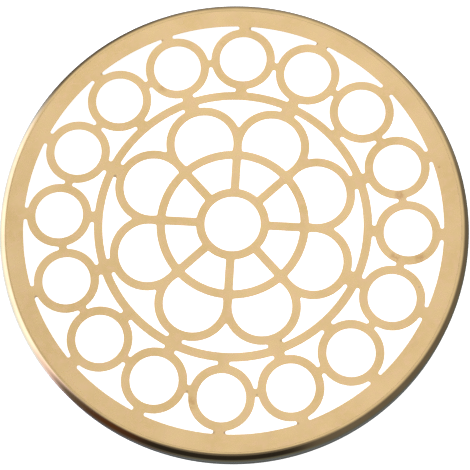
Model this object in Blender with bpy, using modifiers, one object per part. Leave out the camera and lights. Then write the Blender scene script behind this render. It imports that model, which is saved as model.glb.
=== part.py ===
"""Openwork transit token.

A thin pierced brass disc is held in a deep, round-edged rim. The disc is pressed into
the lip of the front hoop, flush with it, and rests on the sleeve of the back ring,
which is pressed into the hoop from behind. The token lies on the XY plane, on its
back ring, with the pierced face up. All sizes are in metres.
"""

import math

import bmesh
import bpy
from mathutils import Matrix, Vector

MM = 0.001

# Rim
OUTER_DIAMETER = 28.0 * MM
TOKEN_THICKNESS = 2.2 * MM
SHOULDER_WIDTH = 0.48 * MM
SHOULDER_DROP = 0.60 * MM
BACK_EDGE_RADIUS = 0.40 * MM
LIP_LAND = 0.02 * MM
HOOP_WALL = 0.35 * MM
BACK_RING_WALL = 0.65 * MM
SEAM_CHAMFER = 0.06 * MM
INNER_CHAMFER = 0.05 * MM

# Clearances between pieces: round the disc, at the sleeve, and at the seam in the edge
DISC_CLEARANCE = 0.01 * MM
FIT_CLEARANCE = 0.02 * MM
SEAM_GAP = 0.02 * MM

# Pierced disc
PLATE_THICKNESS = 0.12 * MM
BORDER_WIDTH = 1.026 * MM
STRIP_WIDTH = 0.522 * MM
WEB_GAP = 0.168 * MM
HUB_HOLE_RADIUS = 1.656 * MM
PETAL_FOOT = 0.755 * MM
TIP_SWELL = 0.022 * MM
SIDE_TIP_SWELL = 0.030 * MM
CORNER_RADIUS = 0.08 * MM
PETALS = 8
ROUND_HOLES = 16

# Fineness of the round stretches
RIM_STEPS = 96
CHORD_SAG = 0.012 * MM
LARGEST_SAG_SHARE = 0.3
ROUNDING_STEPS = 6
WELD_DISTANCE = 0.0001 * MM
FULL_TURN = math.tau * (1 - 1e-9)

# The rim's sizes that follow
OUTER_RADIUS = OUTER_DIAMETER / 2
LIP_RADIUS = OUTER_RADIUS - SHOULDER_WIDTH - LIP_LAND
BORE_RADIUS = OUTER_RADIUS - HOOP_WALL
PLATE_RADIUS = LIP_RADIUS - DISC_CLEARANCE
SLEEVE_RADIUS = BORE_RADIUS - FIT_CLEARANCE
PLATE_BOTTOM = TOKEN_THICKNESS - PLATE_THICKNESS
SLEEVE_TOP = PLATE_BOTTOM - FIT_CLEARANCE
SEAM_HEIGHT = TOKEN_THICKNESS / 2
BACK_RING_INNER = OUTER_RADIUS - BACK_RING_WALL

# The pattern's sizes that follow, from the border inwards. Neighbouring rings stand
# one web gap apart, and neighbouring petals share one strip.
BORDER_RADIUS = LIP_RADIUS - BORDER_WIDTH
ROUND_SHARE = math.sin(math.pi / ROUND_HOLES)
ROUND_PITCH_RADIUS = (BORDER_RADIUS - WEB_GAP / 2) / (1 + ROUND_SHARE)
ROUND_RING_RADIUS = ROUND_PITCH_RADIUS * ROUND_SHARE - WEB_GAP / 2
ROUND_HOLE_RADIUS = ROUND_RING_RADIUS - STRIP_WIDTH
MIDDLE_RING_OUTER = ROUND_PITCH_RADIUS - ROUND_RING_RADIUS - WEB_GAP
MIDDLE_RING_INNER = MIDDLE_RING_OUTER - STRIP_WIDTH
PETAL_SHARE = math.sin(math.pi / PETALS)
PETAL_PITCH_RADIUS = (MIDDLE_RING_INNER - WEB_GAP - STRIP_WIDTH / 2) / (1 + PETAL_SHARE)
PETAL_HOLE_RADIUS = PETAL_PITCH_RADIUS * PETAL_SHARE - STRIP_WIDTH / 2
PETAL_RING_RADIUS = PETAL_HOLE_RADIUS + STRIP_WIDTH
INNER_RING_OUTER = PETAL_PITCH_RADIUS - PETAL_FOOT
INNER_RING_INNER = INNER_RING_OUTER - STRIP_WIDTH
HUB_RING_OUTER = HUB_HOLE_RADIUS + STRIP_WIDTH
TIP_RADIUS = WEB_GAP / 2 + TIP_SWELL
SIDE_TIP_RADIUS = WEB_GAP / 2 + SIDE_TIP_SWELL

ORIGIN = Vector((0, 0))
COLLECTION_NAME = "openwork_transit_token"


def clear_scene():
    for old in list(bpy.data.objects):
        bpy.data.objects.remove(old, do_unlink=True)


def new_collection(name):
    collection = bpy.data.collections.new(name)
    bpy.context.scene.collection.children.link(collection)
    return collection


def brass(name, colour, roughness):
    """A metal of its own for one piece."""
    material = bpy.data.materials.new(name)
    material.use_nodes = True
    shader = material.node_tree.nodes["Principled BSDF"]
    shader.inputs["Base Color"].default_value = (*colour, 1.0)
    shader.inputs["Metallic"].default_value = 1.0
    shader.inputs["Roughness"].default_value = roughness
    return material


# Outlines of the openings


def polar(radius, angle):
    return Vector((radius * math.cos(angle), radius * math.sin(angle)))


def arc_points(centre, radius, start, end, turn):
    """Points from start to end round a centre, without the last one; turn is +1 or -1."""
    sweep = (turn * (end - start)) % math.tau
    widest = 2 * math.acos(1 - min(CHORD_SAG / radius, LARGEST_SAG_SHARE))
    count = max(1, math.ceil(sweep / widest))
    return [centre + polar(radius, start + turn * sweep * i / count) for i in range(count)]


def direction(vector):
    return math.atan2(vector.y, vector.x)


class RoundWall:
    """A circle that bounds an opening, from outside (side 1) or from inside (side -1)."""

    def __init__(self, centre, radius, side):
        self.centre = centre
        self.radius = radius
        self.side = side

    def stretch(self, first, last):
        """The wall from the corner round first to the corner round last."""
        start = direction(first - self.centre)
        end = direction(last - self.centre)
        return arc_points(self.centre, self.radius, start, end, -self.side)

    def foot(self, corner):
        """The wall's point nearest to a corner's centre."""
        return self.centre + (corner - self.centre).normalized() * self.radius


class StraightWall:
    """A line that bounds an opening, offset from the origin along its normal."""

    def __init__(self, angle, offset):
        self.normal = polar(1, angle)
        self.offset = offset

    def stretch(self, first, last):
        """The point where the line begins, because a straight run needs no more."""
        return [self.foot(first)]

    def foot(self, corner):
        """The wall's point nearest to a corner's centre."""
        return corner - self.normal * (self.normal.dot(corner) - self.offset)


def corner_between(wall, other, corner_radius, near):
    """Centre of the rounding that touches both walls, the one nearest to a point."""
    if isinstance(wall, StraightWall):
        wall, other = other, wall
    reach = wall.radius + wall.side * corner_radius
    if isinstance(other, StraightWall):
        normal = other.normal
        along = other.offset + corner_radius - normal.dot(wall.centre)
    else:
        other_reach = other.radius + other.side * corner_radius
        between = other.centre - wall.centre
        normal = between.normalized()
        along = (reach**2 - other_reach**2 + between.length_squared) / (2 * between.length)
    across = math.sqrt(reach**2 - along**2)
    tangent = Vector((-normal.y, normal.x))
    middle = wall.centre + normal * along
    choices = (middle + tangent * across, middle - tangent * across)
    return min(choices, key=lambda choice: (choice - near).length)


def opening(walls, corner_radii, near_points):
    """Closed outline inside the walls, taken anticlockwise, with rounded corners.

    Corner i lies between wall i and the next one.
    """
    count = len(walls)
    corners = []
    for i in range(count):
        following = walls[(i + 1) % count]
        corners.append(corner_between(walls[i], following, corner_radii[i], near_points[i]))
    points = []
    for i in range(count):
        following = walls[(i + 1) % count]
        points += walls[i].stretch(corners[i - 1], corners[i])
        start = direction(walls[i].foot(corners[i]) - corners[i])
        end = direction(following.foot(corners[i]) - corners[i])
        points += arc_points(corners[i], corner_radii[i], start, end, 1)
    return points


def round_opening(centre, radius):
    return arc_points(centre, radius, 0, FULL_TURN, 1)


def spoke_opening():
    """Between two spokes, from the hub ring to the inner ring."""
    half_gap = math.pi / PETALS
    walls = [
        RoundWall(ORIGIN, HUB_RING_OUTER, 1),
        StraightWall(math.pi / 2 - half_gap, STRIP_WIDTH / 2),
        RoundWall(ORIGIN, INNER_RING_INNER, -1),
        StraightWall(half_gap - math.pi / 2, STRIP_WIDTH / 2),
    ]
    near = [
        polar(HUB_RING_OUTER, -half_gap),
        polar(INNER_RING_INNER, -half_gap),
        polar(INNER_RING_INNER, half_gap),
        polar(HUB_RING_OUTER, half_gap),
    ]
    return opening(walls, [CORNER_RADIUS] * 4, near)


def petal_opening():
    """The round head of a petal, closed below by the inner ring."""
    half_gap = math.pi / PETALS
    walls = [
        RoundWall(polar(PETAL_PITCH_RADIUS, 0), PETAL_HOLE_RADIUS, -1),
        RoundWall(ORIGIN, INNER_RING_OUTER, 1),
    ]
    near = [polar(INNER_RING_OUTER, half_gap), polar(INNER_RING_OUTER, -half_gap)]
    return opening(walls, [CORNER_RADIUS] * 2, near)


def spandrel_opening():
    """Between two petals and the middle ring."""
    half_gap = math.pi / PETALS
    walls = [
        RoundWall(ORIGIN, MIDDLE_RING_INNER, -1),
        RoundWall(polar(PETAL_PITCH_RADIUS, half_gap), PETAL_RING_RADIUS, 1),
        RoundWall(polar(PETAL_PITCH_RADIUS, -half_gap), PETAL_RING_RADIUS, 1),
    ]
    near = [
        polar(MIDDLE_RING_INNER, half_gap / 2),
        polar(MIDDLE_RING_INNER, 0),
        polar(MIDDLE_RING_INNER, -half_gap / 2),
    ]
    return opening(walls, [TIP_RADIUS, CORNER_RADIUS, TIP_RADIUS], near)


def outer_web_opening():
    """Between two round holes and the border."""
    half_gap = math.pi / ROUND_HOLES
    walls = [
        RoundWall(ORIGIN, BORDER_RADIUS, -1),
        RoundWall(polar(ROUND_PITCH_RADIUS, half_gap), ROUND_RING_RADIUS, 1),
        RoundWall(polar(ROUND_PITCH_RADIUS, -half_gap), ROUND_RING_RADIUS, 1),
    ]
    near = [
        polar(BORDER_RADIUS, half_gap / 2),
        polar(BORDER_RADIUS, 0),
        polar(BORDER_RADIUS, -half_gap / 2),
    ]
    return opening(walls, [TIP_RADIUS, SIDE_TIP_RADIUS, TIP_RADIUS], near)


def inner_web_opening():
    """Between two round holes and the middle ring."""
    half_gap = math.pi / ROUND_HOLES
    walls = [
        RoundWall(ORIGIN, MIDDLE_RING_OUTER, 1),
        RoundWall(polar(ROUND_PITCH_RADIUS, -half_gap), ROUND_RING_RADIUS, 1),
        RoundWall(polar(ROUND_PITCH_RADIUS, half_gap), ROUND_RING_RADIUS, 1),
    ]
    near = [
        polar(MIDDLE_RING_OUTER, -half_gap / 2),
        polar(MIDDLE_RING_OUTER, 0),
        polar(MIDDLE_RING_OUTER, half_gap / 2),
    ]
    return opening(walls, [SIDE_TIP_RADIUS] * 3, near)


def turned_copies(points, count, first_turn):
    """The outline repeated round the middle, starting at a share of one turn's step."""
    step = math.tau / count
    for i in range(count):
        turn = Matrix.Rotation(step * (i + first_turn), 2)
        yield [turn @ point for point in points]


def plate_outlines():
    yield [polar(PLATE_RADIUS, math.tau * i / RIM_STEPS) for i in range(RIM_STEPS)]
    yield round_opening(ORIGIN, HUB_HOLE_RADIUS)
    yield from turned_copies(spoke_opening(), PETALS, 0.5)
    yield from turned_copies(petal_opening(), PETALS, 0.5)
    yield from turned_copies(spandrel_opening(), PETALS, 0)
    hole = round_opening(polar(ROUND_PITCH_RADIUS, 0), ROUND_HOLE_RADIUS)
    yield from turned_copies(hole, ROUND_HOLES, 0)
    yield from turned_copies(outer_web_opening(), ROUND_HOLES, 0.5)
    yield from turned_copies(inner_web_opening(), ROUND_HOLES, 0.5)


# Solids


def flat_solid(name, outlines, thickness, collection):
    """A flat piece from closed outlines, as a mesh centred on its own plane."""
    curve = bpy.data.curves.new(name, "CURVE")
    curve.dimensions = "2D"
    curve.fill_mode = "BOTH"
    curve.extrude = thickness / 2
    for outline in outlines:
        spline = curve.splines.new("POLY")
        spline.points.add(len(outline) - 1)
        for point, place in zip(spline.points, outline):
            point.co = (place.x, place.y, 0, 1)
        spline.use_cyclic_u = True
    holder = bpy.data.objects.new(name + "_outline", curve)
    collection.objects.link(holder)
    bpy.context.view_layer.update()
    evaluated = holder.evaluated_get(bpy.context.evaluated_depsgraph_get())
    mesh = bpy.data.meshes.new_from_object(evaluated)
    mesh.name = name
    solid = bpy.data.objects.new(name, mesh)
    solid.matrix_world = holder.matrix_world
    collection.objects.link(solid)
    bpy.data.objects.remove(holder, do_unlink=True)
    weld = bmesh.new()
    weld.from_mesh(mesh)
    bmesh.ops.remove_doubles(weld, verts=weld.verts, dist=WELD_DISTANCE)
    weld.to_mesh(mesh)
    weld.free()
    return solid


def turned_solid(name, profile, collection):
    """A ring from a closed profile of (radius, height) points, outer side downwards."""
    mesh = bpy.data.meshes.new(name)
    vertices = [(radius, 0, height) for radius, height in profile]
    edges = [(i, (i + 1) % len(profile)) for i in range(len(profile))]
    mesh.from_pydata(vertices, edges, [])
    ring = bpy.data.objects.new(name, mesh)
    collection.objects.link(ring)
    screw = ring.modifiers.new("turn", "SCREW")
    screw.axis = "Z"
    screw.angle = math.tau
    screw.steps = RIM_STEPS
    screw.render_steps = RIM_STEPS
    screw.use_merge_vertices = True
    screw.merge_threshold = WELD_DISTANCE
    screw.use_smooth_shade = True
    return ring


def quarter_round(centre_height, width, drop, start, end):
    """Points of a rounded outer edge between two angles, in degrees, both included."""
    points = []
    for i in range(ROUNDING_STEPS + 1):
        angle = math.radians(start + (end - start) * i / ROUNDING_STEPS)
        radius = OUTER_RADIUS - width + width * math.cos(angle)
        points.append((radius, centre_height + drop * math.sin(angle)))
    return points


def hoop_profile():
    bottom = SEAM_HEIGHT + SEAM_GAP / 2
    top = TOKEN_THICKNESS
    profile = [(LIP_RADIUS, top)]
    profile += quarter_round(top - SHOULDER_DROP, SHOULDER_WIDTH, SHOULDER_DROP, 90, 0)
    profile += [
        (OUTER_RADIUS, bottom + SEAM_CHAMFER),
        (OUTER_RADIUS - SEAM_CHAMFER, bottom),
        (BORE_RADIUS, bottom),
        (BORE_RADIUS, PLATE_BOTTOM),
        (LIP_RADIUS, PLATE_BOTTOM),
    ]
    return profile


def back_ring_profile():
    seam = SEAM_HEIGHT - SEAM_GAP / 2
    profile = [
        (SLEEVE_RADIUS, SLEEVE_TOP),
        (SLEEVE_RADIUS, seam),
        (OUTER_RADIUS - SEAM_CHAMFER, seam),
        (OUTER_RADIUS, seam - SEAM_CHAMFER),
    ]
    profile += quarter_round(BACK_EDGE_RADIUS, BACK_EDGE_RADIUS, BACK_EDGE_RADIUS, 0, -90)
    profile += [
        (BACK_RING_INNER + INNER_CHAMFER, 0),
        (BACK_RING_INNER, INNER_CHAMFER),
        (BACK_RING_INNER, SLEEVE_TOP),
    ]
    return profile


def make_tracery_plate(collection):
    """The pierced disc, whose plain border fits the lip and rests on the sleeve."""
    plate = flat_solid("tracery_plate", plate_outlines(), PLATE_THICKNESS, collection)
    middle = TOKEN_THICKNESS - PLATE_THICKNESS / 2
    plate.data.transform(Matrix.Translation((0, 0, middle)))
    plate.data.materials.append(brass("satin_brass_face", (0.73, 0.50, 0.24), 0.38))
    return plate


def make_rim_hoop(collection):
    """The front half of the rim, with the lip that the disc is pressed into."""
    hoop = turned_solid("rim_hoop", hoop_profile(), collection)
    hoop.data.materials.append(brass("polished_brass_hoop", (0.71, 0.51, 0.26), 0.16))
    return hoop


def make_back_ring(collection):
    """The back half of the rim, whose sleeve the disc's border rests on."""
    ring = turned_solid("back_ring", back_ring_profile(), collection)
    ring.data.materials.append(brass("polished_brass_ring", (0.66, 0.48, 0.25), 0.20))
    return ring


def main():
    clear_scene()
    token = new_collection(COLLECTION_NAME)
    make_tracery_plate(token)
    make_rim_hoop(token)
    make_back_ring(token)
    bpy.context.view_layer.update()


main()
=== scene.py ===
"""Looks of the openwork transit token: a pierced disc of satin brass in a polished rim.

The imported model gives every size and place. The pierced disc is repeated round its middle
by Geometry Nodes, the two halves of the rim are turned from their sections, and the brass
of each piece is a material of its own. Lengths are in metres unless they end in _MM.
"""

import math

import bmesh
import bpy
from mathutils import Matrix, Quaternion, Vector


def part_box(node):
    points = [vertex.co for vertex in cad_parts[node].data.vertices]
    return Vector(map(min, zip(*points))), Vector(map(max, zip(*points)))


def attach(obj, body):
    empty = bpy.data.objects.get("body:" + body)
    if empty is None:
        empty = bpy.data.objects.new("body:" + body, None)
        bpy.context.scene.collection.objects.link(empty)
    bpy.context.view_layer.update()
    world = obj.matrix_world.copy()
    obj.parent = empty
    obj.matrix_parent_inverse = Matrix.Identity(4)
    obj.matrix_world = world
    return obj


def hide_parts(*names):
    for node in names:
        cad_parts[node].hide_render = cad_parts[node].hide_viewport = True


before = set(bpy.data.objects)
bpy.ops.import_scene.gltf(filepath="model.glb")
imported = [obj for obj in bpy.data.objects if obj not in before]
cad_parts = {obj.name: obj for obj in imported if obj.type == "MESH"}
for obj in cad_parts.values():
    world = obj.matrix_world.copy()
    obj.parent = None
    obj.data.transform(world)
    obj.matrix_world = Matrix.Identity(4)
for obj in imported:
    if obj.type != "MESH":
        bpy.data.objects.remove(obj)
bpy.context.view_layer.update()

MM = 0.001

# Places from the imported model
DISC_LOW, DISC_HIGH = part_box("tracery_plate")
HOOP_LOW, HOOP_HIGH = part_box("rim_hoop")
RING_LOW, RING_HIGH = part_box("back_ring")
OUTER_RADIUS = HOOP_HIGH.x
TOKEN_TOP = HOOP_HIGH.z
DISC_TOP = DISC_HIGH.z
DISC_THICKNESS = DISC_HIGH.z - DISC_LOW.z
SLEEVE_TOP = RING_HIGH.z
SEAM_TOP = HOOP_LOW.z

# Rim
SHOULDER_WIDTH = 0.48 * MM
SHOULDER_DROP = 0.60 * MM
BACK_EDGE_RADIUS = 0.40 * MM
LIP_LAND = 0.02 * MM
LIP_ROUNDING = 0.003 * MM
HOOP_WALL = 0.35 * MM
BACK_RING_WALL = 0.65 * MM
SEAM_GAP = 0.02 * MM
SEAM_CHAMFER = 0.06 * MM
SEAM_ROUNDING = 0.02 * MM
INNER_CHAMFER = 0.05 * MM
FIT_CLEARANCE = 0.02 * MM
DISC_CLEARANCE = 0.002 * MM
TURNING_STEPS = 360
SHOULDER_STEPS = 20
ROUNDING_STEPS = 4
SHARP_ANGLE = math.radians(30)
LIP_RADIUS = OUTER_RADIUS - SHOULDER_WIDTH - LIP_LAND
DISC_RADIUS = LIP_RADIUS - DISC_CLEARANCE
BORE_RADIUS = OUTER_RADIUS - HOOP_WALL
SLEEVE_RADIUS = BORE_RADIUS - FIT_CLEARANCE
BACK_RING_INNER = OUTER_RADIUS - BACK_RING_WALL

# Pierced disc. Neighbouring rings stand one web gap apart, and neighbouring petals
# share one strip. The openings widen toward the back by the edge draft on each side.
BORDER_WIDTH = 1.026 * MM
STRIP_WIDTH = 0.522 * MM
WEB_GAP = 0.168 * MM
HUB_HOLE_RADIUS = 1.656 * MM
PETAL_FOOT = 0.755 * MM
TIP_SWELL = 0.022 * MM
SIDE_TIP_SWELL = 0.030 * MM
CORNER_RADIUS = 0.08 * MM
PETALS = 8
ROUND_HOLES = 16
EDGE_RADIUS = 0.005 * MM
EDGE_LAND = 0.006 * MM
EDGE_DRAFT = 0.045 * MM
CHORD_SAG = 0.0014 * MM
LARGEST_SAG_SHARE = 0.06
WELD_DISTANCE = 0.0001 * MM
FRONT_INSET = EDGE_RADIUS + EDGE_LAND
BACK_INSET = FRONT_INSET + EDGE_DRAFT
BORDER_RADIUS = LIP_RADIUS - BORDER_WIDTH
ROUND_SHARE = math.sin(math.pi / ROUND_HOLES)
ROUND_PITCH_RADIUS = (BORDER_RADIUS - WEB_GAP / 2) / (1 + ROUND_SHARE)
ROUND_RING_RADIUS = ROUND_PITCH_RADIUS * ROUND_SHARE - WEB_GAP / 2
ROUND_HOLE_RADIUS = ROUND_RING_RADIUS - STRIP_WIDTH
MIDDLE_RING_OUTER = ROUND_PITCH_RADIUS - ROUND_RING_RADIUS - WEB_GAP
MIDDLE_RING_INNER = MIDDLE_RING_OUTER - STRIP_WIDTH
PETAL_SHARE = math.sin(math.pi / PETALS)
PETAL_PITCH_RADIUS = (MIDDLE_RING_INNER - WEB_GAP - STRIP_WIDTH / 2) / (1 + PETAL_SHARE)
PETAL_HOLE_RADIUS = PETAL_PITCH_RADIUS * PETAL_SHARE - STRIP_WIDTH / 2
PETAL_RING_RADIUS = PETAL_HOLE_RADIUS + STRIP_WIDTH
INNER_RING_OUTER = PETAL_PITCH_RADIUS - PETAL_FOOT
INNER_RING_INNER = INNER_RING_OUTER - STRIP_WIDTH
HUB_RING_OUTER = HUB_HOLE_RADIUS + STRIP_WIDTH
TIP_RADIUS = WEB_GAP / 2 + TIP_SWELL
SIDE_TIP_RADIUS = WEB_GAP / 2 + SIDE_TIP_SWELL
ORIGIN = Vector((0, 0))
# A hair under one turn, because a whole one would count as none
FULL_TURN = math.tau * (1 - 1e-9)

# Marks on the face, as (x, y, radius, strength) with lengths in millimetres: soft brown
# stains, and dark specks at some corners of the webs
STAINS = (
    (-1.79, -10.78, 0.55, 0.45),
    (9.81, 2.28, 0.45, 0.50),
    (9.35, 2.95, 0.35, 0.45),
    (9.66, -1.51, 0.42, 0.50),
    (11.12, -1.49, 0.42, 0.50),
    (-4.75, 8.28, 0.40, 0.40),
    (-1.29, 11.29, 0.30, 0.25),
    (12.06, 4.13, 0.12, 0.60),
)
SPECKS = (
    (-7.22, 2.58, 0.14, 0.48),
    (-11.29, -5.04, 0.14, 0.52),
    (-8.57, 8.99, 0.11, 0.36),
    (-0.33, -12.39, 0.12, 0.44),
    (0.32, -12.37, 0.12, 0.48),
    (4.48, -11.60, 0.12, 0.40),
    (3.25, -6.84, 0.12, 0.40),
    (-2.01, -10.12, 0.11, 0.36),
    (2.03, -10.09, 0.10, 0.32),
    (0.33, 12.36, 0.14, 0.44),
    (4.43, 11.58, 0.12, 0.48),
    (5.08, 11.32, 0.12, 0.48),
    (-5.00, 11.36, 0.10, 0.36),
    (11.12, -3.24, 0.08, 0.28),
)

# Share of a mark's radius that shows at full strength
MARK_CORE = 0.2

# Brass. Colours are red, green, blue and opacity. A grain is the size of its lumps, and a
# span is where in the lumps' values from 0 to 1 a change begins and ends.
FACE_BRASS = (0.72, 0.515, 0.245, 1)
FACE_LIGHT_BRASS = (0.78, 0.57, 0.295, 1)
FACE_PINK = (0.79, 0.545, 0.315, 1)
FACE_PINK_STRENGTH = 0.7
FACE_ROUGHNESS = (0.22, 0.31)
STAIN_BROWN = (0.47, 0.25, 0.10, 1)
SPECK_BROWN = (0.16, 0.12, 0.12, 1)
HOOP_BRASS = (0.72, 0.52, 0.26, 1)
HOOP_ROUGHNESS = 0.13
RING_BRASS = (0.70, 0.52, 0.28, 1)
RING_ROUGHNESS = 0.16
TARNISH_BROWN = (0.13, 0.085, 0.05, 1)
TARNISH_WIDTH = 0.17 * MM
TARNISH_CORE = 0.25 * TARNISH_WIDTH
TARNISH_STRENGTH = 0.8
TARNISH_ROUGHNESS = 0.3
WORN_SHADE = 0.9
TONE_GRAIN = 3.0 * MM
MOTTLE_GRAIN = 0.45 * MM
STAIN_GRAIN = 0.25 * MM
FACE_CLOUD_GRAIN = 1.2 * MM
SATIN_GRAIN = 0.06 * MM
SATIN_DEPTH = 0.004 * MM
SATIN_RELIEF = 0.25
RIM_CLOUD_GRAIN = 1.5 * MM
LINE_GRAIN = 0.05 * MM
LINE_DEPTH = 0.003 * MM
LINE_RELIEF = 0.2
LINE_DRIFT = 0.01
CLOUD_SPAN = (0.3, 0.7)
MOTTLE_SPAN = (0.40, 0.72)
STAIN_SPAN = (0.25, 0.6)
WORN_SPAN = (0.35, 0.7)
TARNISH_SPAN = (0.2, 0.6)
TARNISH_SHARES = (0.6, 1.0)
RIM_ROUGHNESS_SHARES = (0.85, 1.25)

# Camera
CAMERA_PLACE = Vector((4.882, -22.815, 91.36)) * MM
CAMERA_AIM = Vector((0.185, -0.674, 2.20)) * MM
CAMERA_ROLL = math.radians(-8.70)
CAMERA_LENS_MM = 119.1
SENSOR_MM = 36.0
CLIP_NEAR = 5 * MM
CLIP_FAR = 5.0

# Studio
FLOOR_RADIUS = 0.40
FLOOR_MIDDLE_RADIUS = 0.04
COVE_RADIUS = 0.15
COVE_STEPS = 16
BACKDROP_HEIGHT = 0.60
STAGE_STEPS = 96
PAPER_COLOUR = (0.9, 0.9, 0.9, 1)
PAPER_ROUGHNESS = 0.9
PAPER_GLOW = (1, 1, 1, 1)

# Light. The colours are how brightly each part of the room shines. A heading is in
# degrees anticlockwise from +X, and an axis points from the token to a part's middle.
# A height is a direction's rise, from -1 straight down to 1 straight up, given as where
# a part begins to show and where it shows in full.
ROOM_LIGHT = (0.19, 0.19, 0.21, 1)
BACK_LIGHT = (0.47, 0.47, 0.49, 1)
OVERHEAD_LIGHT = (1.07, 1.06, 1.04, 1)
LEFT_DIP_LIGHT = (0.78, 0.76, 0.70, 1)
RIGHT_DIP_LIGHT = (0.92, 0.90, 0.92, 1)
FRONT_DARK = (0.03, 0.03, 0.035, 1)
FRONT_WARM_DARK = (0.11, 0.05, 0.03, 1)
HOOD_DARK = (0.20, 0.20, 0.22, 1)
LOW_DARK = (0.15, 0.18, 0.205, 1)
CARD_FOOT_LIGHT = (1.15, 1.45, 2.15, 1)
CARD_HEAD_LIGHT = (1.8, 1.95, 2.7, 1)
CARD_END_LIGHT = (1.4, 1.25, 1.9, 1)
SHADE_DARK = (0.12, 0.09, 0.11, 1)
BACK_HEADING = 72
FRONT_HEADING = 258
WARM_HEADING = 222
CARD_HEADING = 176
SHADE_HEADING = 230
SHADE_RISE = -1.2
OVERHEAD_AXIS = (0.05, 0.42, 1)
LEFT_DIP_AXIS = (-0.27, 0.17, 1)
RIGHT_DIP_AXIS = (0.24, 0.26, 1)
HOOD_AXIS = (0, -0.55, 1)
FRONT_HEIGHTS = (0.86, 0.60)
LOW_HEIGHTS = (-0.30, -0.68)
CARD_TOP_HEIGHTS = (0.91, 0.76)
CARD_FOOT_HEIGHTS = (-0.95, -0.85)
CARD_TONE_HEIGHTS = (-0.4, 0.3)


# Outlines of the openings


def polar(radius, angle):
    return Vector((radius * math.cos(angle), radius * math.sin(angle)))


def arc_points(centre, radius, start, end, turn):
    """Points from start to end round a centre, without the last one; turn is +1 or -1."""
    sweep = (turn * (end - start)) % math.tau
    widest = 2 * math.acos(1 - min(CHORD_SAG / radius, LARGEST_SAG_SHARE))
    count = max(1, math.ceil(sweep / widest))
    return [centre + polar(radius, start + turn * sweep * i / count) for i in range(count)]


def direction(vector):
    return math.atan2(vector.y, vector.x)


class RoundWall:
    """A circle that an opening lies outside of (side 1) or inside of (side -1)."""

    def __init__(self, centre, radius, side):
        self.centre = centre
        self.radius = radius
        self.side = side

    def stretch(self, first, last):
        """The wall from the corner round first to the corner round last."""
        start = direction(first - self.centre)
        end = direction(last - self.centre)
        return arc_points(self.centre, self.radius, start, end, -self.side)

    def foot(self, corner):
        """The wall's point nearest to a corner's centre."""
        return self.centre + (corner - self.centre).normalized() * self.radius


class StraightWall:
    """A line that bounds an opening, offset from the origin along its normal."""

    def __init__(self, angle, offset):
        self.normal = polar(1, angle)
        self.offset = offset

    def stretch(self, first, last):
        """The point where the line begins, because a straight run needs no more."""
        return [self.foot(first)]

    def foot(self, corner):
        """The wall's point nearest to a corner's centre."""
        return corner - self.normal * (self.normal.dot(corner) - self.offset)


def corner_between(wall, other, corner_radius, near):
    """Centre of the rounding that touches both walls, the one nearest to a point."""
    if isinstance(wall, StraightWall):
        wall, other = other, wall
    reach = wall.radius + wall.side * corner_radius
    if isinstance(other, StraightWall):
        normal = other.normal
        along = other.offset + corner_radius - normal.dot(wall.centre)
    else:
        other_reach = other.radius + other.side * corner_radius
        between = other.centre - wall.centre
        normal = between.normalized()
        along = (reach**2 - other_reach**2 + between.length_squared) / (2 * between.length)
    across = math.sqrt(reach**2 - along**2)
    tangent = Vector((-normal.y, normal.x))
    middle = wall.centre + normal * along
    choices = (middle + tangent * across, middle - tangent * across)
    return min(choices, key=lambda choice: (choice - near).length)


def opening(walls, corner_radii, near_points):
    """Closed outline inside the walls, taken anticlockwise, with rounded corners.

    Corner i lies between wall i and the next one.
    """
    count = len(walls)
    corners = []
    for i in range(count):
        following = walls[(i + 1) % count]
        corners.append(corner_between(walls[i], following, corner_radii[i], near_points[i]))
    points = []
    for i in range(count):
        following = walls[(i + 1) % count]
        points += walls[i].stretch(corners[i - 1], corners[i])
        start = direction(walls[i].foot(corners[i]) - corners[i])
        end = direction(following.foot(corners[i]) - corners[i])
        points += arc_points(corners[i], corner_radii[i], start, end, 1)
    return points


def round_opening(centre, radius):
    return arc_points(centre, radius, 0, FULL_TURN, 1)


def spoke_opening():
    """Between two spokes, from the hub ring to the inner ring."""
    half_gap = math.pi / PETALS
    walls = [
        RoundWall(ORIGIN, HUB_RING_OUTER, 1),
        StraightWall(math.pi / 2 - half_gap, STRIP_WIDTH / 2),
        RoundWall(ORIGIN, INNER_RING_INNER, -1),
        StraightWall(half_gap - math.pi / 2, STRIP_WIDTH / 2),
    ]
    near = [
        polar(HUB_RING_OUTER, -half_gap),
        polar(INNER_RING_INNER, -half_gap),
        polar(INNER_RING_INNER, half_gap),
        polar(HUB_RING_OUTER, half_gap),
    ]
    return opening(walls, [CORNER_RADIUS] * 4, near)


def petal_opening():
    """The round head of a petal, closed below by the inner ring."""
    half_gap = math.pi / PETALS
    walls = [
        RoundWall(polar(PETAL_PITCH_RADIUS, 0), PETAL_HOLE_RADIUS, -1),
        RoundWall(ORIGIN, INNER_RING_OUTER, 1),
    ]
    near = [polar(INNER_RING_OUTER, half_gap), polar(INNER_RING_OUTER, -half_gap)]
    return opening(walls, [CORNER_RADIUS] * 2, near)


def spandrel_opening():
    """Between two petals and the middle ring."""
    half_gap = math.pi / PETALS
    walls = [
        RoundWall(ORIGIN, MIDDLE_RING_INNER, -1),
        RoundWall(polar(PETAL_PITCH_RADIUS, half_gap), PETAL_RING_RADIUS, 1),
        RoundWall(polar(PETAL_PITCH_RADIUS, -half_gap), PETAL_RING_RADIUS, 1),
    ]
    near = [
        polar(MIDDLE_RING_INNER, half_gap / 2),
        polar(MIDDLE_RING_INNER, 0),
        polar(MIDDLE_RING_INNER, -half_gap / 2),
    ]
    return opening(walls, [TIP_RADIUS, CORNER_RADIUS, TIP_RADIUS], near)


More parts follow.
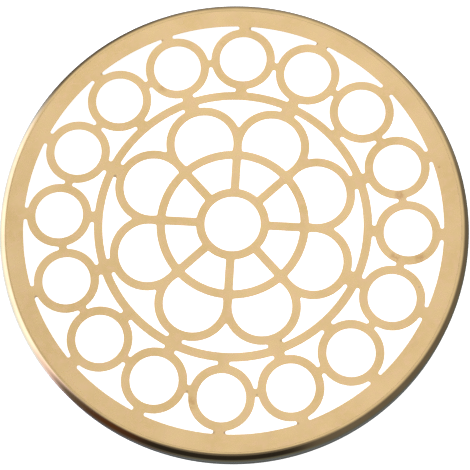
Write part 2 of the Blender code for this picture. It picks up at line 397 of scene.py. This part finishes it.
def outer_web_opening():
    """Between two round holes and the border."""
    half_gap = math.pi / ROUND_HOLES
    walls = [
        RoundWall(ORIGIN, BORDER_RADIUS, -1),
        RoundWall(polar(ROUND_PITCH_RADIUS, half_gap), ROUND_RING_RADIUS, 1),
        RoundWall(polar(ROUND_PITCH_RADIUS, -half_gap), ROUND_RING_RADIUS, 1),
    ]
    near = [
        polar(BORDER_RADIUS, half_gap / 2),
        polar(BORDER_RADIUS, 0),
        polar(BORDER_RADIUS, -half_gap / 2),
    ]
    return opening(walls, [TIP_RADIUS, SIDE_TIP_RADIUS, TIP_RADIUS], near)


def inner_web_opening():
    """Between two round holes and the middle ring."""
    half_gap = math.pi / ROUND_HOLES
    walls = [
        RoundWall(ORIGIN, MIDDLE_RING_OUTER, 1),
        RoundWall(polar(ROUND_PITCH_RADIUS, -half_gap), ROUND_RING_RADIUS, 1),
        RoundWall(polar(ROUND_PITCH_RADIUS, half_gap), ROUND_RING_RADIUS, 1),
    ]
    near = [
        polar(MIDDLE_RING_OUTER, -half_gap / 2),
        polar(MIDDLE_RING_OUTER, 0),
        polar(MIDDLE_RING_OUTER, half_gap / 2),
    ]
    return opening(walls, [SIDE_TIP_RADIUS] * 3, near)


def turned(points, angle):
    turn = Matrix.Rotation(angle, 2)
    return [turn @ point for point in points]


# Meshes


def outline_curve(name, outlines, closed=True):
    """A helper curve that Geometry Nodes read, with one spline for each outline."""
    curve = bpy.data.curves.new(name, "CURVE")
    curve.dimensions = "3D"
    for outline in outlines:
        spline = curve.splines.new("POLY")
        spline.points.add(len(outline) - 1)
        for point, place in zip(spline.points, outline):
            point.co = (place[0], place[1], 0, 1)
        spline.use_cyclic_u = closed
    holder = bpy.data.objects.new(name, curve)
    bpy.context.scene.collection.objects.link(holder)
    return holder


def wall_section():
    """Section of a cut edge, from its top land to its bottom land, deeper in the metal."""
    half = DISC_THICKNESS / 2
    section = [(FRONT_INSET, -half)]
    for i in range(ROUNDING_STEPS + 1):
        angle = math.pi / 2 * i / ROUNDING_STEPS
        out = EDGE_RADIUS * (1 - math.sin(angle))
        down = EDGE_RADIUS * (1 - math.cos(angle))
        section.append((out, down - half))
    return section + [(out + EDGE_DRAFT, -down) for out, down in reversed(section)]


def add(tree, kind, wires=None, **settings):
    """A node whose inputs are given by name or number, as values or as others' outputs."""
    node = tree.nodes.new(kind)
    for name, value in settings.items():
        setattr(node, name, value)
    for key, value in (wires or {}).items():
        socket = node.inputs[key]
        if isinstance(value, bpy.types.NodeSocket):
            tree.links.new(value, socket)
        else:
            socket.default_value = value
    return node


def calc(tree, operation, *values):
    """One step of arithmetic on numbers."""
    node = add(tree, "ShaderNodeMath", dict(enumerate(values)), operation=operation)
    return node.outputs[0]


def copies_round(tree, outlines, count):
    """The outlines repeated count times round the middle."""
    points = add(tree, "GeometryNodePoints", {"Count": count})
    index = add(tree, "GeometryNodeInputIndex")
    step = calc(tree, "DIVIDE", math.tau, count)
    turn = add(tree, "ShaderNodeCombineXYZ", {"Z": calc(tree, "MULTIPLY", index.outputs[0], step)})
    rotation = add(tree, "FunctionNodeEulerToRotation", {0: turn.outputs[0]})
    wires = {"Points": points.outputs[0], "Instance": outlines, "Rotation": rotation.outputs[0]}
    placed = add(tree, "GeometryNodeInstanceOnPoints", wires)
    return add(tree, "GeometryNodeRealizeInstances", {0: placed.outputs[0]}).outputs[0]


def moved_up(tree, geometry, height):
    place = add(tree, "ShaderNodeCombineXYZ", {"Z": height})
    wires = {"Geometry": geometry, "Translation": place.outputs[0]}
    return add(tree, "GeometryNodeTransform", wires).outputs[0]


def pierced_disc_tree():
    """Repeats the openings round the middle, sweeps their walls and fills both faces."""
    tree = bpy.data.node_groups.new("pierced_disc", "GeometryNodeTree")
    sockets = (
        ("Single Outlines", "NodeSocketObject"),
        ("Petal Openings", "NodeSocketObject"),
        ("Round Openings", "NodeSocketObject"),
        ("Wall Section", "NodeSocketObject"),
        ("Petals", "NodeSocketInt"),
        ("Round Holes", "NodeSocketInt"),
        ("Disc Top", "NodeSocketFloat"),
        ("Thickness", "NodeSocketFloat"),
        ("Front Inset", "NodeSocketFloat"),
        ("Back Inset", "NodeSocketFloat"),
        ("Weld Distance", "NodeSocketFloat"),
        ("Brass", "NodeSocketMaterial"),
    )
    for name, kind in sockets:
        tree.interface.new_socket(name, in_out="INPUT", socket_type=kind)
    tree.interface.new_socket("Geometry", in_out="OUTPUT", socket_type="NodeSocketGeometry")
    given = add(tree, "NodeGroupInput").outputs
    single, petal, rounds, section = (
        add(tree, "GeometryNodeObjectInfo", {"Object": given[name]}).outputs["Geometry"]
        for name in ("Single Outlines", "Petal Openings", "Round Openings", "Wall Section")
    )
    joined = add(tree, "GeometryNodeJoinGeometry")
    tree.links.new(single, joined.inputs[0])
    tree.links.new(copies_round(tree, petal, given["Petals"]), joined.inputs[0])
    tree.links.new(copies_round(tree, rounds, given["Round Holes"]), joined.inputs[0])
    outlines = add(tree, "GeometryNodeSetCurveNormal", {0: joined.outputs[0]}, mode="Z_UP")
    outlines = outlines.outputs[0]
    walls = add(tree, "GeometryNodeCurveToMesh", {"Curve": outlines, "Profile Curve": section})
    walls = add(tree, "GeometryNodeFlipFaces", {"Mesh": walls.outputs[0]})
    walls = add(tree, "GeometryNodeSetShadeSmooth", {"Geometry": walls.outputs[0]})
    into_metal = add(tree, "GeometryNodeInputNormal").outputs[0]
    faces = []
    for inset in (given["Front Inset"], given["Back Inset"]):
        wires = {0: into_metal, "Scale": inset}
        offset = add(tree, "ShaderNodeVectorMath", wires, operation="SCALE").outputs[0]
        wires = {"Geometry": outlines, "Offset": offset}
        face_outlines = add(tree, "GeometryNodeSetPosition", wires).outputs[0]
        face = add(tree, "GeometryNodeFillCurve", {"Curve": face_outlines}).outputs[0]
        wires = {"Geometry": face, "Shade Smooth": False}
        faces.append(add(tree, "GeometryNodeSetShadeSmooth", wires).outputs[0])
    half = calc(tree, "MULTIPLY", given["Thickness"], 0.5)
    front = moved_up(tree, faces[0], half)
    back = moved_up(tree, faces[1], calc(tree, "MULTIPLY", half, -1.0))
    back = add(tree, "GeometryNodeFlipFaces", {"Mesh": back}).outputs[0]
    whole = add(tree, "GeometryNodeJoinGeometry")
    for part in (walls.outputs[0], front, back):
        tree.links.new(part, whole.inputs[0])
    wires = {"Geometry": whole.outputs[0], "Distance": given["Weld Distance"]}
    welded = add(tree, "GeometryNodeMergeByDistance", wires).outputs[0]
    middle = calc(tree, "SUBTRACT", given["Disc Top"], half)
    raised = moved_up(tree, welded, middle)
    real = add(tree, "GeometryNodeRealizeInstances", {"Geometry": raised}).outputs[0]
    wires = {"Geometry": real, "Material": given["Brass"]}
    finished = add(tree, "GeometryNodeSetMaterial", wires).outputs[0]
    add(tree, "NodeGroupOutput", {"Geometry": finished})
    return tree


def set_inputs(modifier, values):
    """Sets a modifier's named inputs by their sockets' identifiers."""
    for item in modifier.node_group.interface.items_tree:
        if item.in_out == "INPUT":
            modifier[item.identifier] = values[item.name]


def new_piece(name, mesh):
    mesh.name = name
    piece = bpy.data.objects.new(name, mesh)
    bpy.context.scene.collection.objects.link(piece)
    return piece


def make_pierced_disc(brass):
    rim = list(reversed(round_opening(ORIGIN, DISC_RADIUS)))
    half_petal = math.pi / PETALS
    half_hole = math.pi / ROUND_HOLES
    single = [rim, round_opening(ORIGIN, HUB_HOLE_RADIUS)]
    petals = [
        turned(spoke_opening(), half_petal),
        turned(petal_opening(), half_petal),
        spandrel_opening(),
    ]
    rounds = [
        round_opening(polar(ROUND_PITCH_RADIUS, 0), ROUND_HOLE_RADIUS),
        turned(outer_web_opening(), half_hole),
        turned(inner_web_opening(), half_hole),
    ]
    helpers = {
        "Single Outlines": outline_curve("single_outlines", single),
        "Petal Openings": outline_curve("petal_openings", petals),
        "Round Openings": outline_curve("round_openings", rounds),
        "Wall Section": outline_curve("wall_section", [wall_section()], closed=False),
    }
    host = new_piece("disc_host", bpy.data.meshes.new("disc_host"))
    modifier = host.modifiers.new("pierced_disc", "NODES")
    modifier.node_group = pierced_disc_tree()
    sizes = {
        "Petals": PETALS,
        "Round Holes": ROUND_HOLES,
        "Disc Top": DISC_TOP,
        "Thickness": DISC_THICKNESS,
        "Front Inset": FRONT_INSET,
        "Back Inset": BACK_INSET,
        "Weld Distance": WELD_DISTANCE,
        "Brass": brass,
    }
    set_inputs(modifier, {**helpers, **sizes})
    evaluated = host.evaluated_get(bpy.context.evaluated_depsgraph_get())
    disc = new_piece("pierced_disc", bpy.data.meshes.new_from_object(evaluated))
    for helper in (host, *helpers.values()):
        bpy.data.objects.remove(helper, do_unlink=True)
    return disc


def softened(corners):
    """A section's points, with each (radius, height, rounding) corner made round."""
    points = []
    for i, (radius, height, rounding) in enumerate(corners):
        corner = Vector((radius, height))
        if not rounding:
            points.append(corner)
            continue
        before = (Vector(corners[i - 1][:2]) - corner).normalized()
        after = (Vector(corners[(i + 1) % len(corners)][:2]) - corner).normalized()
        half = before.angle(after) / 2
        centre = corner + (before + after).normalized() * rounding / math.sin(half)
        first = corner + before * rounding / math.tan(half) - centre
        sweep = first.angle_signed(corner + after * rounding / math.tan(half) - centre)
        for step in range(ROUNDING_STEPS + 1):
            turn = Matrix.Rotation(-sweep * step / ROUNDING_STEPS, 2)
            points.append(centre + turn @ first)
    return points


def rounded_edge(centre_height, width, drop, start, end):
    """Corners along the rim's rounded outer edge between two angles, in degrees."""
    corners = []
    for i in range(SHOULDER_STEPS + 1):
        angle = math.radians(start + (end - start) * i / SHOULDER_STEPS)
        radius = OUTER_RADIUS - width + width * math.cos(angle)
        corners.append((radius, centre_height + drop * math.sin(angle), 0))
    return corners


def hoop_section():
    corners = [(LIP_RADIUS, TOKEN_TOP, LIP_ROUNDING)]
    corners += rounded_edge(TOKEN_TOP - SHOULDER_DROP, SHOULDER_WIDTH, SHOULDER_DROP, 90, 0)
    corners += [
        (OUTER_RADIUS, SEAM_TOP + SEAM_CHAMFER, SEAM_ROUNDING),
        (OUTER_RADIUS - SEAM_CHAMFER, SEAM_TOP, SEAM_ROUNDING),
        (BORE_RADIUS, SEAM_TOP, 0),
        (BORE_RADIUS, DISC_LOW.z, 0),
        (LIP_RADIUS, DISC_LOW.z, LIP_ROUNDING),
    ]
    return softened(corners)


def closing_ring_section():
    seam = SEAM_TOP - SEAM_GAP
    corners = [
        (SLEEVE_RADIUS, SLEEVE_TOP, 0),
        (SLEEVE_RADIUS, seam, 0),
        (OUTER_RADIUS - SEAM_CHAMFER, seam, SEAM_ROUNDING),
        (OUTER_RADIUS, seam - SEAM_CHAMFER, SEAM_ROUNDING),
    ]
    edge = BACK_EDGE_RADIUS
    corners += rounded_edge(RING_LOW.z + edge, edge, edge, 0, -90)
    corners += [
        (BACK_RING_INNER + INNER_CHAMFER, RING_LOW.z, SEAM_ROUNDING),
        (BACK_RING_INNER, RING_LOW.z + INNER_CHAMFER, SEAM_ROUNDING),
        (BACK_RING_INNER, SLEEVE_TOP, LIP_ROUNDING),
    ]
    return softened(corners)


def turned_mesh(name, section, steps, closed=True):
    """A mesh turned round Z from a section of (radius, height) points."""
    shape = bmesh.new()
    rings = []
    for step in range(steps):
        angle = math.tau * step / steps
        places = [(*polar(radius, angle), height) for radius, height in section]
        rings.append([shape.verts.new(place) for place in places])
    count = len(section)
    for step in range(steps):
        ring, following = rings[step], rings[(step + 1) % steps]
        for i in range(count if closed else count - 1):
            j = (i + 1) % count
            shape.faces.new((ring[i], ring[j], following[j], following[i]))
    if closed:
        bmesh.ops.recalc_face_normals(shape, faces=shape.faces)
    for face in shape.faces:
        face.smooth = True
    for edge in shape.edges:
        edge.smooth = edge.calc_face_angle(0) < SHARP_ANGLE
    mesh = bpy.data.meshes.new(name)
    shape.to_mesh(mesh)
    shape.free()
    return mesh


# Materials


def noise(tree, vector, grain, detail=2.0, roughness=0.5):
    """Cloudy values from 0 to 1, with lumps about one grain across."""
    wires = {"Vector": vector, "Scale": 1 / grain, "Detail": detail, "Roughness": roughness}
    return add(tree, "ShaderNodeTexNoise", wires).outputs[0]


def fade(tree, value, low, high, to_low=0.0, to_high=1.0):
    """The value moved smoothly from one span to another, and held at its ends."""
    wires = {0: value, 1: low, 2: high, 3: to_low, 4: to_high}
    return add(tree, "ShaderNodeMapRange", wires, interpolation_type="SMOOTHSTEP").outputs[0]


def mixed(tree, factor, first, second):
    """Two colours mixed by a factor."""
    wires = {0: factor, 6: first, 7: second}
    return add(tree, "ShaderNodeMix", wires, data_type="RGBA").outputs[2]


def spots(tree, place, marks):
    """How strongly soft round marks show, each given as (x, y, radius, strength)."""
    total = 0.0
    for x, y, radius, strength in marks:
        wires = {0: place, 1: (x * MM, y * MM, DISC_TOP)}
        away = add(tree, "ShaderNodeVectorMath", wires, operation="DISTANCE").outputs["Value"]
        mark = fade(tree, away, radius * MM, MARK_CORE * radius * MM, 0.0, strength)
        total = calc(tree, "MAXIMUM", total, mark)
    return total


def new_metal(name):
    """A metal's tree, its shader, and the piece's own coordinates."""
    metal = bpy.data.materials.new(name)
    metal.use_nodes = True
    tree = metal.node_tree
    shader = tree.nodes["Principled BSDF"]
    shader.inputs["Metallic"].default_value = 1.0
    place = add(tree, "ShaderNodeTexCoord").outputs["Object"]
    return metal, tree, shader, place


def roughen(tree, shader, height, strength, depth):
    """Fine relief in a metal's surface."""
    wires = {"Height": height, "Strength": strength, "Distance": depth}
    bump = add(tree, "ShaderNodeBump", wires).outputs[0]
    tree.links.new(bump, shader.inputs["Normal"])


def satin_brass():
    """Fine satin brass with faint cloudy tones, brown stains and dark specks."""
    metal, tree, shader, place = new_metal("satin_brass_face")
    tone = fade(tree, noise(tree, place, TONE_GRAIN), *CLOUD_SPAN)
    colour = mixed(tree, tone, FACE_BRASS, FACE_LIGHT_BRASS)
    mottle = noise(tree, place, MOTTLE_GRAIN, detail=3.0, roughness=0.6)
    pink = fade(tree, mottle, *MOTTLE_SPAN, 0.0, FACE_PINK_STRENGTH)
    colour = mixed(tree, pink, colour, FACE_PINK)
    ragged = fade(tree, noise(tree, place, STAIN_GRAIN), *STAIN_SPAN)
    stained = calc(tree, "MULTIPLY", spots(tree, place, STAINS), ragged)
    colour = mixed(tree, stained, colour, STAIN_BROWN)
    colour = mixed(tree, spots(tree, place, SPECKS), colour, SPECK_BROWN)
    tree.links.new(colour, shader.inputs["Base Color"])
    cloud = noise(tree, place, FACE_CLOUD_GRAIN, detail=3.0)
    dull = fade(tree, cloud, *CLOUD_SPAN, *FACE_ROUGHNESS)
    tree.links.new(dull, shader.inputs["Roughness"])
    grain = noise(tree, place, SATIN_GRAIN)
    roughen(tree, shader, grain, SATIN_RELIEF, SATIN_DEPTH)
    return metal


def turned_brass(name, colour, roughness):
    """Polished brass with fine lines left by turning and tarnish along the seam."""
    metal, tree, shader, place = new_metal(name)
    xyz = add(tree, "ShaderNodeSeparateXYZ", {0: place})
    flat = add(tree, "ShaderNodeVectorMath", {0: place, 1: (1, 1, 0)}, operation="MULTIPLY")
    length = add(tree, "ShaderNodeVectorMath", {0: flat.outputs[0]}, operation="LENGTH")
    drift = calc(tree, "MULTIPLY", xyz.outputs["X"], LINE_DRIFT)
    across = calc(tree, "ADD", length.outputs["Value"], drift)
    along = calc(tree, "MULTIPLY", xyz.outputs["Y"], LINE_DRIFT)
    wires = {"X": across, "Y": along, "Z": xyz.outputs["Z"]}
    lines_place = add(tree, "ShaderNodeCombineXYZ", wires).outputs[0]
    lines = noise(tree, lines_place, LINE_GRAIN)
    cloud = noise(tree, place, RIM_CLOUD_GRAIN, detail=3.0)
    worn_colour = (*[share * WORN_SHADE for share in colour[:3]], 1)
    worn = mixed(tree, fade(tree, cloud, *WORN_SPAN), colour, worn_colour)
    from_seam = calc(tree, "ABSOLUTE", calc(tree, "SUBTRACT", xyz.outputs["Z"], SEAM_TOP))
    tarnish = fade(tree, from_seam, TARNISH_WIDTH, TARNISH_CORE, 0.0, TARNISH_STRENGTH)
    uneven = fade(tree, cloud, *TARNISH_SPAN, *TARNISH_SHARES)
    tarnish = calc(tree, "MULTIPLY", tarnish, uneven)
    worn = mixed(tree, tarnish, worn, TARNISH_BROWN)
    tree.links.new(worn, shader.inputs["Base Color"])
    least, most = (roughness * share for share in RIM_ROUGHNESS_SHARES)
    dull = fade(tree, cloud, *CLOUD_SPAN, least, most)
    tarnish_dull = calc(tree, "MULTIPLY", tarnish, TARNISH_ROUGHNESS)
    dull = calc(tree, "ADD", dull, tarnish_dull)
    tree.links.new(dull, shader.inputs["Roughness"])
    roughen(tree, shader, lines, LINE_RELIEF, LINE_DEPTH)
    return metal


# Studio


def make_stage():
    """A plain white floor that rises into a round backdrop and throws no light or shadow."""
    section = [(FLOOR_MIDDLE_RADIUS, 0.0), (FLOOR_RADIUS, 0.0)]
    for i in range(1, COVE_STEPS + 1):
        angle = math.pi / 2 * i / COVE_STEPS
        radius = FLOOR_RADIUS + COVE_RADIUS * math.sin(angle)
        section.append((radius, COVE_RADIUS * (1 - math.cos(angle))))
    section.append((FLOOR_RADIUS + COVE_RADIUS, BACKDROP_HEIGHT))
    mesh = turned_mesh("floor", section, STAGE_STEPS, closed=False)
    shape = bmesh.new()
    shape.from_mesh(mesh)
    inner = [edge for edge in shape.edges if edge.is_boundary and edge.verts[0].co.z < MM]
    bmesh.ops.contextual_create(shape, geom=inner)
    shape.to_mesh(mesh)
    shape.free()
    floor = new_piece("floor", mesh)
    paper = bpy.data.materials.new("white_paper")
    paper.use_nodes = True
    shader = paper.node_tree.nodes["Principled BSDF"]
    shader.inputs["Base Color"].default_value = PAPER_COLOUR
    shader.inputs["Roughness"].default_value = PAPER_ROUGHNESS
    shader.inputs["Emission Color"].default_value = PAPER_GLOW
    shader.inputs["Emission Strength"].default_value = 1.0
    mesh.materials.append(paper)
    for rays in ("visible_glossy", "visible_diffuse", "visible_shadow", "visible_transmission"):
        setattr(floor, rays, False)


def lobe(tree, ray, axis, wide, narrow):
    """1 near an axis and 0 far from it, between two angles in degrees."""
    wires = {0: ray, 1: Vector(axis).normalized()}
    along = add(tree, "ShaderNodeVectorMath", wires, operation="DOT_PRODUCT").outputs["Value"]
    return fade(tree, along, math.cos(math.radians(wide)), math.cos(math.radians(narrow)))


def heading(degrees, rise=0):
    """The direction at an angle round the token, anticlockwise from +X, with its rise."""
    angle = math.radians(degrees)
    return (math.cos(angle), math.sin(angle), rise)


def make_studio_light():
    """A wide soft light overhead, a tall white card on the left, and a dim room around.

    Each area lies over the ones before it: the wall behind the token, the overhead light
    with two weaker spots, the dark front that turns warm toward the left, a small hood
    high in front, the dark under the token, the card, and a shade under the card's end.
    """
    world = bpy.data.worlds.new("studio")
    bpy.context.scene.world = world
    world.use_nodes = True
    tree = world.node_tree
    ray = add(tree, "ShaderNodeTexCoord").outputs["Generated"]
    flat = add(tree, "ShaderNodeVectorMath", {0: ray, 1: (1, 1, 0)}, operation="MULTIPLY")
    level = add(tree, "ShaderNodeVectorMath", {0: flat.outputs[0]}, operation="NORMALIZE")
    level = level.outputs[0]
    height = add(tree, "ShaderNodeSeparateXYZ", {0: ray}).outputs["Z"]

    back = lobe(tree, level, heading(BACK_HEADING), wide=48, narrow=12)
    room = mixed(tree, back, ROOM_LIGHT, BACK_LIGHT)
    overhead = lobe(tree, ray, OVERHEAD_AXIS, wide=68, narrow=6)
    room = mixed(tree, overhead, room, OVERHEAD_LIGHT)
    left_dip = lobe(tree, ray, LEFT_DIP_AXIS, wide=13, narrow=3)
    room = mixed(tree, left_dip, room, LEFT_DIP_LIGHT)
    right_dip = lobe(tree, ray, RIGHT_DIP_AXIS, wide=14, narrow=3)
    room = mixed(tree, right_dip, room, RIGHT_DIP_LIGHT)

    front = lobe(tree, level, heading(FRONT_HEADING), wide=44, narrow=28)
    front = calc(tree, "MULTIPLY", front, fade(tree, height, *FRONT_HEIGHTS))
    warm = lobe(tree, level, heading(WARM_HEADING), wide=26, narrow=8)
    room = mixed(tree, front, room, mixed(tree, warm, FRONT_DARK, FRONT_WARM_DARK))
    hood = lobe(tree, ray, HOOD_AXIS, wide=20, narrow=8)
    room = mixed(tree, hood, room, HOOD_DARK)
    room = mixed(tree, fade(tree, height, *LOW_HEIGHTS), room, LOW_DARK)

    card = lobe(tree, level, heading(CARD_HEADING), wide=42, narrow=28)
    card = calc(tree, "MULTIPLY", card, fade(tree, height, *CARD_TOP_HEIGHTS))
    card = calc(tree, "MULTIPLY", card, fade(tree, height, *CARD_FOOT_HEIGHTS))
    card_tone = fade(tree, height, *CARD_TONE_HEIGHTS)
    white = mixed(tree, card_tone, CARD_FOOT_LIGHT, CARD_HEAD_LIGHT)
    card_end = lobe(tree, level, heading(WARM_HEADING), wide=24, narrow=8)
    white = mixed(tree, card_end, white, CARD_END_LIGHT)
    room = mixed(tree, card, room, white)
    shade = lobe(tree, ray, heading(SHADE_HEADING, SHADE_RISE), wide=20, narrow=8)
    room = mixed(tree, shade, room, SHADE_DARK)
    tree.links.new(room, tree.nodes["Background"].inputs["Color"])


def make_camera():
    camera = bpy.data.objects.new("camera", bpy.data.cameras.new("camera"))
    bpy.context.scene.collection.objects.link(camera)
    camera.data.lens = CAMERA_LENS_MM
    camera.data.sensor_width = SENSOR_MM
    camera.data.clip_start = CLIP_NEAR
    camera.data.clip_end = CLIP_FAR
    looking = CAMERA_AIM - CAMERA_PLACE
    upright = looking.to_track_quat("-Z", "Y")
    camera.rotation_mode = "QUATERNION"
    camera.rotation_quaternion = upright @ Quaternion((0, 0, 1), CAMERA_ROLL)
    camera.location = CAMERA_PLACE
    bpy.context.scene.camera = camera


def finish_piece(piece, node):
    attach(piece, "root")
    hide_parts(node)


def main():
    bpy.context.scene.view_settings.view_transform = "Standard"
    make_camera()
    make_studio_light()
    make_stage()
    disc = make_pierced_disc(satin_brass())
    finish_piece(disc, "tracery_plate")
    hoop = new_piece("front_hoop", turned_mesh("front_hoop", hoop_section(), TURNING_STEPS))
    hoop_brass = turned_brass("polished_brass_hoop", HOOP_BRASS, HOOP_ROUGHNESS)
    hoop.data.materials.append(hoop_brass)
    finish_piece(hoop, "rim_hoop")
    section = closing_ring_section()
    ring = new_piece("closing_ring", turned_mesh("closing_ring", section, TURNING_STEPS))
    ring_brass = turned_brass("polished_brass_ring", RING_BRASS, RING_ROUGHNESS)
    ring.data.materials.append(ring_brass)
    finish_piece(ring, "back_ring")


main()
